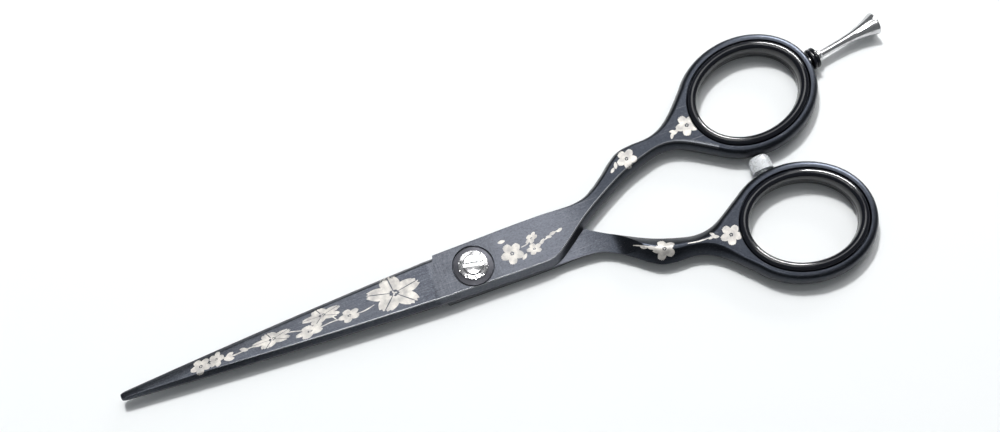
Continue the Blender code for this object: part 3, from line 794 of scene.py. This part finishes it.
def leaf_place(x, y, length, turn):
    """Where the grid of a leaf lies, centred on x, y, with a vein along its middle."""
    def place(u, v):
        side = 2 * v - 1
        half_width = 0.24 * sin(pi * (0.04 + 0.92 * u)) ** 0.8
        p = Vector(((u - 0.5) * length, side * half_width * length))
        p.rotate(Matrix.Rotation(turn, 2))
        return x + p.x, y + p.y, ENGRAVED * (0.4 if abs(side) < 0.05 else 0.9)
    return place


def vine_place(route):
    """Where the grid of a stem lies, along a smooth curve through the route."""
    line = smooth_curve(route, 8)
    def place(u, v):
        t = u * (len(line) - 1)
        i = min(int(t), len(line) - 2)
        p, along = line[i].lerp(line[i + 1], t - i), (line[i + 1] - line[i]).normalized()
        half_width = 0.13 * (0.55 + 0.45 * sin(pi * u))
        q = p + Vector((-along.y, along.x)) * (2 * v - 1) * half_width
        return q.x, q.y, ENGRAVED * 0.8
    return place


def engraving(name, body, forged, blossoms, leaves, vines, material):
    """The etched vine of one half, laid on its upper face."""
    surface = Surface(forged)
    patches = []
    for x, y, length, across, degrees in blossoms:
        parts = [(-1, -VEIN), (VEIN, 1)] if length > VEINED else [(-1, 1)]
        turn = radians(degrees)
        for k in range(PETALS):
            lobe = radians(FIRST_PETAL + 360 // PETALS * k)
            for sides in parts:
                place = petal_place(x, y, length, across, turn, lobe, sides)
                patches.append(patch(*PETAL_GRID, place, surface))
        for k in range(STAMENS):
            out = STAMEN_OUT * length
            place = leaf_place(x + out * cos(2.1 * k), y + out * sin(2.1 * k),
                               STAMEN_LENGTH * length, radians(degrees + 120 * k))
            patches.append(patch(*STAMEN_GRID, place, surface))
    for x, y, length, degrees in leaves:
        place = leaf_place(x, y, length, radians(degrees))
        patches.append(patch(*LEAF_GRID, place, surface))
    for route in vines:
        patches.append(patch(8 * len(route), VINE_ACROSS, vine_place(route), surface))
    points, faces = [], []
    for patch_points, patch_faces in patches:
        start = len(points)
        points += patch_points
        faces += [tuple(k + start for k in face) for face in patch_faces]
    pattern = mesh_object(name, points, faces, [material])
    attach(pattern, body)
    pattern.data.shade_smooth()
    pattern.data.set_sharp_from_angle(angle=radians(40))
    return pattern


# ---------------- materials


class Finish:
    """A Principled material and short calls that add nodes to it."""

    def __init__(self, name, colour, metallic, roughness):
        self.material = bpy.data.materials.new(name)
        self.material.use_nodes = True
        self.tree = self.material.node_tree
        self.shader = self.tree.nodes["Principled BSDF"]
        self.shader.inputs["Base Color"].default_value = (*colour, 1)
        self.shader.inputs["Metallic"].default_value = metallic
        self.shader.inputs["Roughness"].default_value = roughness
        self.place = self.add("ShaderNodeTexCoord").outputs["Object"]

    def add(self, kind, inputs=(), **settings):
        node = self.tree.nodes.new(kind)
        for key, value in settings.items():
            setattr(node, key, value)
        for key, value in dict(inputs).items():
            if isinstance(value, bpy.types.NodeSocket):
                self.tree.links.new(value, node.inputs[key])
            else:
                node.inputs[key].default_value = value
        return node

    def noise(self, size, detail, roughness, stretch=(1, 1, 1), turn=0.0):
        """Noise whose features are about size millimetres, longer along an axis by its stretch."""
        scale = [1 / (size * MM * s) for s in stretch]
        mapping = {"Vector": self.place, "Scale": scale, "Rotation": (0, 0, turn)}
        mapped = self.add("ShaderNodeMapping", mapping, vector_type="POINT").outputs[0]
        inputs = {"Vector": mapped, "Scale": 1.0, "Detail": detail, "Roughness": roughness}
        return self.add("ShaderNodeTexNoise", inputs).outputs["Fac"]

    def ramp(self, value, low, high, out_low, out_high):
        """Value from low..high to out_low..out_high, held at both ends."""
        inputs = {"Value": value, "From Min": low, "From Max": high,
                  "To Min": out_low, "To Max": out_high}
        return self.add("ShaderNodeMapRange", inputs).outputs["Result"]

    def zone(self, x, low, high, out_low=0, out_high=1):
        """The same for a place x along the shears, with low and high in millimetres."""
        return self.ramp(x, low * MM, high * MM, out_low, out_high)

    def product(self, a, b):
        return self.add("ShaderNodeMath", {0: a, 1: b}, operation="MULTIPLY").outputs[0]

    def total(self, a, b):
        return self.add("ShaderNodeMath", {0: a, 1: b}, operation="ADD").outputs[0]

    def choose(self, share, a, b):
        """Value a where share is 0 and b where it is 1."""
        return self.add("ShaderNodeMix", {"Factor": share, "A": a, "B": b}).outputs[0]

    def blend(self, share, a, b):
        """Colour a where share is 0 and b where it is 1."""
        node = self.add("ShaderNodeMix", data_type="RGBA")
        for socket, value in ((node.inputs[0], share), (node.inputs[6], a), (node.inputs[7], b)):
            if isinstance(value, bpy.types.NodeSocket):
                self.tree.links.new(value, socket)
            else:
                socket.default_value = (*value, 1) if isinstance(value, tuple) else value
        return node.outputs[2]

    def tinted(self, colour, tints):
        """Colour with each (share, tint) blended over it in turn."""
        for share, tint in tints:
            colour = self.blend(share, colour, tint)
        return colour

    def bump(self, height, strength, distance):
        """Normals over a height, with distance in millimetres."""
        inputs = {"Height": height, "Strength": strength, "Distance": distance * MM}
        return self.add("ShaderNodeBump", inputs).outputs["Normal"]

    def feed(self, colour, roughness, normal):
        """The finished material."""
        feeds = {"Base Color": colour, "Roughness": roughness, "Normal": normal}
        for socket, value in feeds.items():
            self.tree.links.new(value, self.shader.inputs[socket])
        return self.material


def steel_surface(name, highlight_strength):
    """Dark satin coating over brushed steel, with painted sheen on the pivot block and painted
    shade on the handle and on the blade's root; the second argument, in 0..1, is how strongly a
    highlight as bright as bare steel is painted along an arris.
    """
    steel = Finish(name, (0.05, 0.052, 0.062), 1.0, 0.36)
    x = steel.add("ShaderNodeSeparateXYZ", {"Vector": steel.place}).outputs["X"]
    brush = steel.noise(0.09, 3, 0.6, stretch=(60, 1, 1))
    cross_brush = steel.noise(0.1, 3, 0.6, stretch=(1, 40, 1))
    grain = steel.noise(0.13, 5, 0.7)
    cloud = steel.noise(6, 4, 0.55, stretch=(2, 1, 1))
    fleck = steel.noise(0.28, 2, 0.5, stretch=(1.6, 1, 1))
    scratch = steel.noise(0.16, 2, 0.5, stretch=(45, 1, 1), turn=0.35)

    on_handle = steel.zone(x, 22, 32)
    past_step = steel.zone(x, -9.5, -8.5)
    round_pivot = steel.product(past_step, steel.zone(x, 4.5, 6.5, 1, 0))
    # painted sheen: the pivot block is coloured lighter, as its flat face catches more light
    sheen_on_block = steel.product(past_step, steel.zone(x, 18, 30, 1, 0))
    # painted shade on the blade's face beside the pivot block's step
    shade_near_step = steel.product(steel.zone(x, -9.5, -9, 1, 0), steel.zone(x, -20, -12))

    mottled = steel.choose(0.5, brush, grain)
    texture = steel.choose(round_pivot, steel.choose(on_handle, mottled, grain), cross_brush)
    coat = steel.blend(cloud, (0.026, 0.029, 0.038), (0.055, 0.059, 0.07))
    colour = steel.tinted(coat, [
        # painted sheen on the pivot block
        (steel.product(sheen_on_block, 0.5), (0.115, 0.12, 0.14)),
        (steel.product(round_pivot, 0.55), (0.05, 0.053, 0.062)),
        # painted shade beside the step
        (steel.product(shade_near_step, 0.6), (0.024, 0.026, 0.034)),
        (steel.ramp(texture, 0.44, 0.62, 0, 0.6), (0.115, 0.124, 0.142)),
        (steel.ramp(fleck, 0.55, 0.7, 0, 0.3), (0.15, 0.16, 0.18)),
        (steel.ramp(fleck, 0.45, 0.3, 0, 0.35), (0.012, 0.014, 0.019)),
        # painted shade: the handle's rounder faces are coloured darker
        (steel.product(on_handle, 0.68), (0.012, 0.0145, 0.02)),
        (steel.ramp(scratch, 0.66, 0.72, 0, 0.3), (0.2, 0.2, 0.21)),
    ])
    # painted highlight: bare-steel colour laid along an arris, patchy, fainter over the handle and
    # gone towards the tip
    if highlight_strength:
        highlight_mask = steel.product(steel.ramp(grain, 0.4, 0.62, highlight_strength * 0.5, highlight_strength),
                               steel.zone(x, 30, 50, 1, 0.25))
        highlight_mask = steel.product(highlight_mask, steel.zone(x, -60, -30))
        colour = steel.blend(highlight_mask, colour, (0.55, 0.56, 0.58))
    rough = steel.ramp(texture, 0.3, 0.7, 0.27 - 0.05 * highlight_strength, 0.42 - 0.12 * highlight_strength)
    rough = steel.total(rough, steel.ramp(cloud, 0.3, 0.7, -0.04, 0.06))
    return steel.feed(colour, rough, steel.bump(texture, 0.45, 0.02))


def ground_steel():
    """Bare steel of the hollow-ground inner faces, with the grinding marks across the blade."""
    metal = Finish("ground_steel", (0.2, 0.2, 0.205), 1.0, 0.4)
    marks = metal.noise(0.05, 3, 0.6, stretch=(1, 50, 1))
    stain = metal.noise(5, 4, 0.6)
    streaks = metal.ramp(marks, 0.35, 0.65, 0, 1)
    colour = metal.tinted(metal.blend(streaks, (0.12, 0.12, 0.125), (0.24, 0.24, 0.245)), [
        (metal.ramp(stain, 0.4, 0.7, 0, 0.5), (0.13, 0.13, 0.135)),
    ])
    rough = metal.ramp(marks, 0.3, 0.7, 0.32, 0.48)
    return metal.feed(colour, rough, metal.bump(marks, 0.3, 0.01))


def chrome():
    """Polished steel with a fine grain and a few fingerprints."""
    metal = Finish("polished_chrome", (0.62, 0.62, 0.64), 1.0, 0.16)
    grain = metal.noise(0.05, 3, 0.6)
    smudge = metal.noise(1.6, 4, 0.6)
    rough = metal.ramp(smudge, 0.4, 0.65, 0.12, 0.26)
    colour = metal.blend(metal.ramp(smudge, 0.35, 0.7, 0, 1), (0.7, 0.7, 0.71), (0.5, 0.49, 0.5))
    return metal.feed(colour, rough, metal.bump(grain, 0.12, 0.006))


def etched():
    """Bare steel where the coating is etched away: pale, warm and frosted."""
    metal = Finish("etched_steel", (0.6, 0.58, 0.54), 0.2, 0.55)
    frost = metal.noise(0.06, 4, 0.7)
    tone = metal.ramp(metal.noise(1.8, 3, 0.55), 0.35, 0.65, 0, 1)
    colour = metal.tinted(metal.blend(tone, (0.68, 0.65, 0.6), (0.36, 0.345, 0.33)), [
        (metal.ramp(frost, 0.45, 0.7, 0, 0.6), (0.24, 0.23, 0.225)),
    ])
    rough = metal.ramp(frost, 0.3, 0.7, 0.38, 0.6)
    return metal.feed(colour, rough, metal.bump(frost, 0.4, 0.02))


def black_rubber():
    """Glossy moulded black with faint orange peel and rubbed patches."""
    rubber = Finish("glossy_black_rubber", (0.007, 0.008, 0.012), 0.0, 0.14)
    rubber.shader.inputs["Specular IOR Level"].default_value = 0.35
    peel = rubber.noise(0.5, 2, 0.5)
    dust = rubber.ramp(rubber.noise(0.07, 2, 0.5), 0.62, 0.75, 0, 0.5)
    rub = rubber.noise(3.5, 4, 0.6)
    colour = rubber.blend(dust, (0.006, 0.007, 0.011), (0.04, 0.041, 0.048))
    rough = rubber.ramp(rub, 0.35, 0.7, 0.1, 0.24)
    return rubber.feed(colour, rough, rubber.bump(peel, 0.12, 0.05))


def frosted_rubber():
    """Milky clear silicone."""
    gum = Finish("frosted_silicone", (0.82, 0.84, 0.86), 0.0, 0.3)
    for socket, value in (("Transmission Weight", 0.25), ("IOR", 1.41), ("Subsurface Weight", 0.4),
                          ("Subsurface Scale", 0.001), ("Subsurface Radius", (1, 1, 1))):
        gum.shader.inputs[socket].default_value = value
    cloud = gum.noise(0.9, 3, 0.6)
    skin = gum.noise(0.12, 3, 0.6)
    colour = gum.blend(cloud, (0.9, 0.91, 0.92), (0.7, 0.73, 0.76))
    rough = gum.ramp(cloud, 0.3, 0.7, 0.18, 0.4)
    return gum.feed(colour, rough, gum.bump(skin, 0.2, 0.03))


def turned_metal(name, dark, light, rough):
    """Lathe-turned metal for the pivot's inner pieces, with rings round the pivot."""
    metal = Finish(name, light, 1.0, rough)
    flat = {0: metal.place, 1: (1, 1, 0)}
    flat = metal.add("ShaderNodeVectorMath", flat, operation="MULTIPLY").outputs[0]
    radius = metal.add("ShaderNodeVectorMath", {0: flat}, operation="LENGTH").outputs["Value"]
    inputs = {"W": radius, "Scale": 9000.0, "Detail": 3.0}
    rings = metal.add("ShaderNodeTexNoise", inputs, noise_dimensions="1D").outputs["Fac"]
    stain = metal.noise(1.5, 4, 0.6)
    roughness = metal.ramp(stain, 0.3, 0.7, rough - 0.08, rough + 0.1)
    return metal.feed(metal.blend(stain, dark, light), roughness, metal.bump(rings, 0.3, 0.01))


def glide_plastic():
    """Smooth off-white plastic with a faint mottle."""
    plastic = Finish("glide_plastic", (0.8, 0.8, 0.76), 0.0, 0.5)
    fleck = plastic.noise(0.3, 3, 0.6)
    colour = plastic.blend(fleck, (0.84, 0.84, 0.8), (0.72, 0.72, 0.67))
    rough = plastic.ramp(fleck, 0.3, 0.7, 0.4, 0.6)
    return plastic.feed(colour, rough, plastic.bump(fleck, 0.2, 0.03))


def pale_table():
    """A matt, nearly white top with a faint grain."""
    table = Finish("pale_table", (0.9, 0.92, 0.925), 0.0, 0.75)
    tone = table.noise(60, 3, 0.5)
    grain = table.noise(0.8, 3, 0.6)
    colour = table.blend(tone, (0.9, 0.925, 0.93), (0.915, 0.93, 0.935))
    rough = table.ramp(grain, 0.3, 0.7, 0.65, 0.85)
    return table.feed(colour, rough, table.bump(grain, 0.05, 0.02))


# ---------------- stage

CAMERA_AIM = Vector((9.5, 9.03, 3.0)) * MM
CAMERA_AZIMUTH, CAMERA_ELEVATION, CAMERA_DISTANCE, CAMERA_LENS = -20.79, 73.1, 0.4, 66.8
NORTH = 180 + CAMERA_AZIMUTH  # azimuth of the far side of the picture
FLOOR_REACH = 3000
WATTS = 4  # of an area light, for each square metre and unit of brightness
SKY_COLOUR, SKY_STRENGTH = (0.93, 0.97, 1.0, 1), 0.2


def direction(azimuth, elevation):
    """Unit vector towards an azimuth (0 is -Y, 90 is +X) and elevation, in degrees."""
    a, e = radians(azimuth), radians(elevation)
    return Vector((sin(a) * cos(e), -cos(a) * cos(e), sin(e)))


def aimed(data, azimuth, elevation, distance):
    """An object that looks at the aim from that direction."""
    obj = bpy.data.objects.new(data.name, data)
    bpy.context.collection.objects.link(obj)
    back = direction(azimuth, elevation)
    obj.location = CAMERA_AIM + back * distance
    obj.rotation_euler = (-back).to_track_quat("-Z", "Y").to_euler()
    return obj


def camera():
    data = bpy.data.cameras.new("camera")
    data.lens = CAMERA_LENS
    data.sensor_width = 36
    data.clip_start = 0.01
    bpy.context.scene.camera = aimed(data, CAMERA_AZIMUTH, CAMERA_ELEVATION, CAMERA_DISTANCE)


def softbox(name, azimuth, elevation, distance, width, height, brightness, glossy, diffuse):
    """An area light aimed at the shears, that shows in reflections or in diffuse light."""
    data = bpy.data.lights.new(name, "AREA")
    data.shape = "RECTANGLE"
    data.size, data.size_y = width, height
    data.energy = WATTS * brightness * width * height
    obj = aimed(data, azimuth, elevation, distance)
    obj.visible_glossy = glossy
    obj.visible_diffuse = diffuse


def studio():
    """Floor, sky and lights: the diffuse ones make the shadows, the glossy ones the highlights."""
    corners = [(-1, -1), (1, -1), (1, 1), (-1, 1)]
    plane = [(x * FLOOR_REACH, y * FLOOR_REACH, 0) for x, y in corners]
    floor = mesh_object("floor", plane, [(0, 1, 2, 3)], [pale_table()])
    world = bpy.data.worlds.new("studio")
    world.use_nodes = True
    sky = world.node_tree.nodes["Background"].inputs
    sky["Color"].default_value = SKY_COLOUR
    sky["Strength"].default_value = SKY_STRENGTH
    bpy.context.scene.world = world
    bpy.context.scene.view_settings.view_transform = "Standard"
    # name, azimuth, elevation, distance, width and height in metres, brightness
    for light in (("key", NORTH + 20, 63, 1.2, 0.1, 0.1, 225),
                  ("fill", NORTH, 65, 1.2, 0.9, 0.6, 2.6)):
        softbox(*light, glossy=False, diffuse=True)
    for light in (("sheen", NORTH, 64, 1.2, 1.0, 0.5, 3.6),
                  ("rim", NORTH - 28, 30, 1.0, 0.5, 0.06, 230),
                  ("overhead", CAMERA_AZIMUTH, 83, 1.0, 0.4, 0.07, 26)):
        softbox(*light, glossy=True, diffuse=False)


def main():
    # the second steel carries the painted highlight along the arrises
    steel = [steel_surface("coated_steel", 0), steel_surface("arris_painted_highlight", 0.55), ground_steel()]
    polished, etch, rubber = chrome(), etched(), black_rubber()
    finger_half = finger_forging(steel)
    thumb_half = thumb_forging(steel)
    ring_insert("finger_insert", "finger_half", "finger_ring_insert", False, rubber)
    ring_insert("thumb_insert", "thumb_half", "thumb_ring_insert", True, rubber)
    pivot_screw(polished)
    disc_spring(turned_metal("spring_steel", (0.035, 0.036, 0.042), (0.08, 0.08, 0.09), 0.4))
    rear_nut(polished)
    bumper(frosted_rubber())
    rest_collar(rubber)
    finger_rest(polished)
    finger_pattern = (FINGER_BLOSSOMS, FINGER_LEAVES, FINGER_VINES)
    thumb_pattern = (THUMB_BLOSSOMS, THUMB_LEAVES, THUMB_VINES)
    engraving("finger_half_vine", "finger_half", finger_half, *finger_pattern, etch)
    engraving("thumb_half_vine", "thumb_half", thumb_half, *thumb_pattern, etch)
    kept = {
        "pivot_bushing": turned_metal("bronze", (0.42, 0.27, 0.12), (0.6, 0.42, 0.2), 0.35),
        "glide_washer": glide_plastic(),
    }
    for node, material in kept.items():
        frame["nodes"][node].data.materials.clear()
        frame["nodes"][node].data.materials.append(material)
    studio()
    camera()


main()
